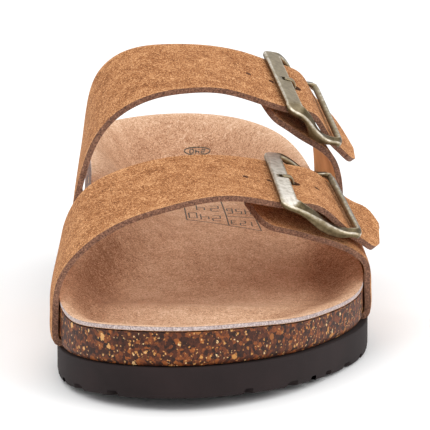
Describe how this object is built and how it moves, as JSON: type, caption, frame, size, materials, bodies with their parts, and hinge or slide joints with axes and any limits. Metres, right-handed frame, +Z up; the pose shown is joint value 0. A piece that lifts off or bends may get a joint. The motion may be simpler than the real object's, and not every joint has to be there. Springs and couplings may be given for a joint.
{
  "type": "cork footbed sandal",
  "caption": "Cork footbed sandal for the left foot, with buckled suede straps over toes and instep, a contoured cork midsole and a thin moulded outsole.",
  "frame": {"origin": "on the floor, under the middle of the shoe's bounding box", "axes": "+Z up from the floor, +Y from the toe towards the heel, +X towards the little-toe side of the left foot"},
  "size_m": [0.1002, 0.2398, 0.082],
  "materials": {
    "outsole_foam": "matt moulded foam",
    "cork": "ground agglomerated cork, sealed",
    "footbed_suede": "napped suede",
    "strap_suede": "napped suede with painted cut edges",
    "buckle_metal": "antique bronze, worn bright on its edges"
  },
  "bodies": {
    "root": {"outsole": "outsole_foam", "cork_footbed": "cork", "suede_insole": "footbed_suede", "upper_medial": "strap_suede", "upper_lateral": "strap_suede", "buckle_front": "buckle_metal", "buckle_rear": "buckle_metal", "prong_front": "buckle_metal", "prong_rear": "buckle_metal"}
  },
  "joints": []
}
